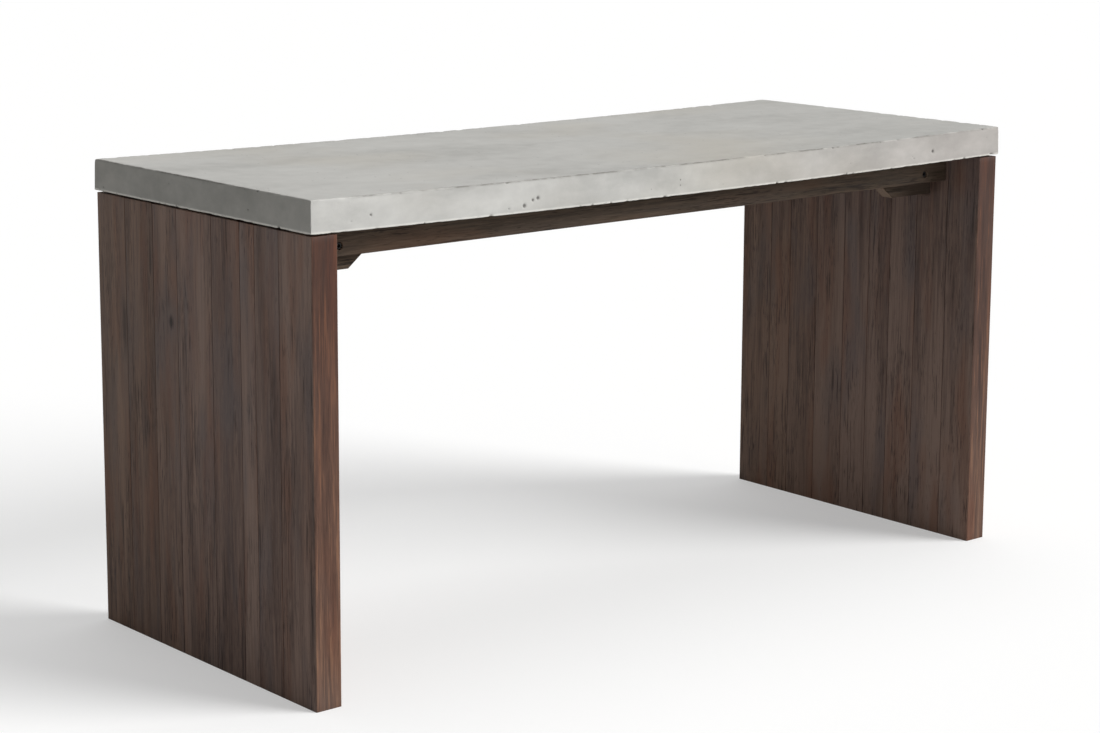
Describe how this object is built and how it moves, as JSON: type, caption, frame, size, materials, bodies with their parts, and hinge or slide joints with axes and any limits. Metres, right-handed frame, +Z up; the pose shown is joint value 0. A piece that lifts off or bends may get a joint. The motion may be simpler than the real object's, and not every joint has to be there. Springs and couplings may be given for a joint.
{
  "type": "garden table bench",
  "caption": "Table-height garden bench with a thick cast concrete top on two solid stave-built slab legs, joined under the top by a bolted timber sub-frame.",
  "frame": {"origin": "on the floor, at the middle of the bench's footprint", "axes": "+Z up, +X along the length of the top, -Y the front"},
  "size_m": [1.506, 0.6, 0.7619],
  "materials": {
    "concrete": "smooth trowelled cast concrete, matt, cloudy grey with pinholes",
    "leg_wood": "brushed hardwood staves, dark brown stain, open pores",
    "frame_wood": "planed hardwood, very dark brown stain",
    "dowel_wood": "plain beech",
    "black_steel": "black oxide",
    "zinc_steel": "zinc plated",
    "pad_rubber": "matt black"
  },
  "bodies": {
    "root": {"apron_bolt_front_left": "black_steel", "apron_bolt_front_right": "black_steel", "apron_bolt_rear_left": "black_steel", "apron_bolt_rear_right": "black_steel", "block_insert_front_left": "zinc_steel", "block_insert_front_right": "zinc_steel", "block_insert_rear_left": "zinc_steel", "block_insert_rear_right": "zinc_steel", "centre_rail": "frame_wood", "concrete_top": "concrete", "corner_block_front_left": "frame_wood", "corner_block_front_right": "frame_wood", "corner_block_rear_left": "frame_wood", "corner_block_rear_right": "frame_wood", "dowel_front_lower": "dowel_wood", "dowel_front_upper": "dowel_wood", "dowel_rear_lower": "dowel_wood", "dowel_rear_upper": "dowel_wood", "front_apron": "frame_wood", "left_end_rail": "frame_wood", "left_leg_stave_1": "leg_wood", "left_leg_stave_2": "leg_wood", "left_leg_stave_3": "leg_wood", "left_leg_stave_4": "leg_wood", "left_leg_stave_5": "leg_wood", "left_leg_stave_6": "leg_wood", "left_leg_stave_7": "leg_wood", "left_leg_stave_8": "leg_wood", "leg_pad_left_front": "pad_rubber", "leg_pad_left_rear": "pad_rubber", "leg_pad_right_front": "pad_rubber", "leg_pad_right_rear": "pad_rubber", "rail_screw_left_1": "zinc_steel", "rail_screw_left_2": "zinc_steel", "rail_screw_left_3": "zinc_steel", "rail_screw_right_1": "zinc_steel", "rail_screw_right_2": "zinc_steel", "rail_screw_right_3": "zinc_steel", "rear_apron": "frame_wood", "right_end_rail": "frame_wood", "right_leg_stave_1": "leg_wood", "right_leg_stave_2": "leg_wood", "right_leg_stave_3": "leg_wood", "right_leg_stave_4": "leg_wood", "right_leg_stave_5": "leg_wood", "right_leg_stave_6": "leg_wood", "right_leg_stave_7": "leg_wood", "right_leg_stave_8": "leg_wood", "right_leg_stave_9": "leg_wood", "top_bolt_left_front": "black_steel", "top_bolt_left_rear": "black_steel", "top_bolt_right_front": "black_steel", "top_bolt_right_rear": "black_steel", "top_insert_left_front": "zinc_steel", "top_insert_left_rear": "zinc_steel", "top_insert_right_front": "zinc_steel", "top_insert_right_rear": "zinc_steel"}
  },
  "joints": []
}
